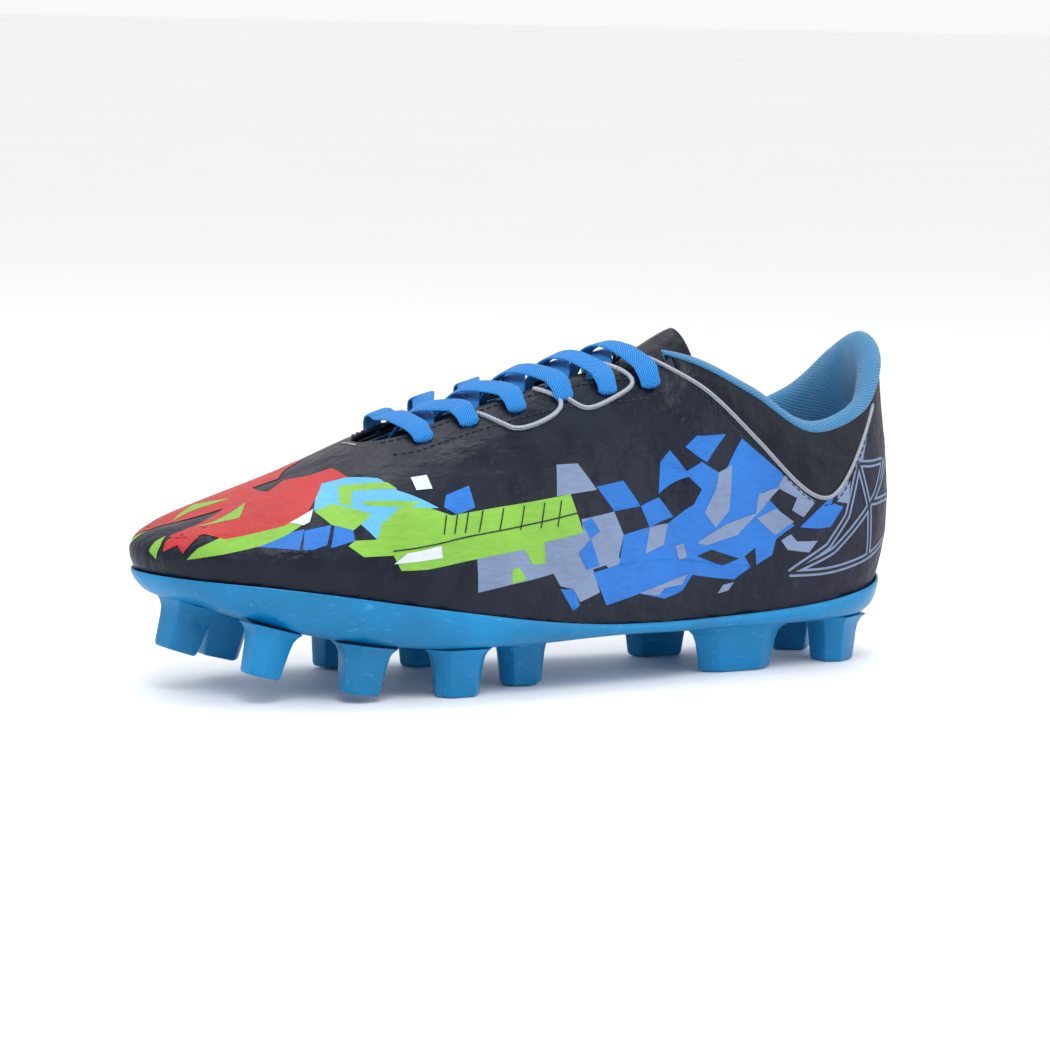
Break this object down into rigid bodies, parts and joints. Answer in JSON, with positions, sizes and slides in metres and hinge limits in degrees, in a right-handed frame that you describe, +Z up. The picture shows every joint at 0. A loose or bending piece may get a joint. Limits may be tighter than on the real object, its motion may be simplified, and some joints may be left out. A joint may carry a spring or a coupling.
{
  "type": "soccer cleat",
  "caption": "Low-cut football boot, left foot, dark printed synthetic upper, flat blue lace, padded heel collar and a moulded blue outsole with studs.",
  "frame": {"origin": "on the ground under the middle of the shoe's bounding box, at the height of the stud tips", "axes": "+X towards the heel, -X towards the toe, -Y the outer (lateral) side, +Y the inner (medial) side, +Z up"},
  "size_m": [0.2889, 0.0972, 0.1213],
  "materials": {
    "outsole": "gloss",
    "board": "matte",
    "sock_liner": "matte",
    "synthetic_upper": "satin",
    "lining_textile": "matte",
    "stiffener": "matte",
    "foam": "matte",
    "collar_knit": "matte",
    "padded_panel": "satin",
    "lace": "matte"
  },
  "bodies": {
    "shoe_body": {"outsole_rearfoot": "outsole", "insole_board_rearfoot": "board", "sock_liner_rearfoot": "sock_liner", "vamp_crease": "synthetic_upper", "vamp_lining_crease": "lining_textile", "quarter_lateral": "synthetic_upper", "quarter_medial": "synthetic_upper", "collar_panel_lateral": "padded_panel", "collar_panel_medial": "padded_panel", "eyestay_lateral": "stiffener", "eyestay_medial": "stiffener", "quarter_lining_lateral": "lining_textile", "quarter_lining_medial": "lining_textile", "heel_counter": "stiffener", "collar_foam": "foam", "collar_lining": "collar_knit", "lace": "lace"},
    "forefoot": {"outsole_forefoot": "outsole", "insole_board_forefoot": "board", "sock_liner_forefoot": "sock_liner", "vamp": "synthetic_upper", "vamp_lining": "lining_textile", "toe_puff": "stiffener"},
    "tongue": {"tongue_face": "padded_panel", "tongue_foam": "foam", "tongue_lining": "collar_knit"}
  },
  "joints": [
    {"name": "toe_flex", "type": "hinge", "parent": "shoe_body", "child": "forefoot", "pos_m": [-0.0655, 0, 0.026], "axis": [0, 1, 0], "range_deg": [0, 20], "stiffness_Nm_per_rad": 10, "deforming": ["vamp_crease", "vamp_lining_crease"]},
    {"name": "tongue_tilt", "type": "hinge", "parent": "shoe_body", "child": "tongue", "pos_m": [-0.0585, 0, 0.0735], "axis": [0, 1, 0], "range_deg": [0, 6], "stiffness_Nm_per_rad": 0.5}
  ]
}
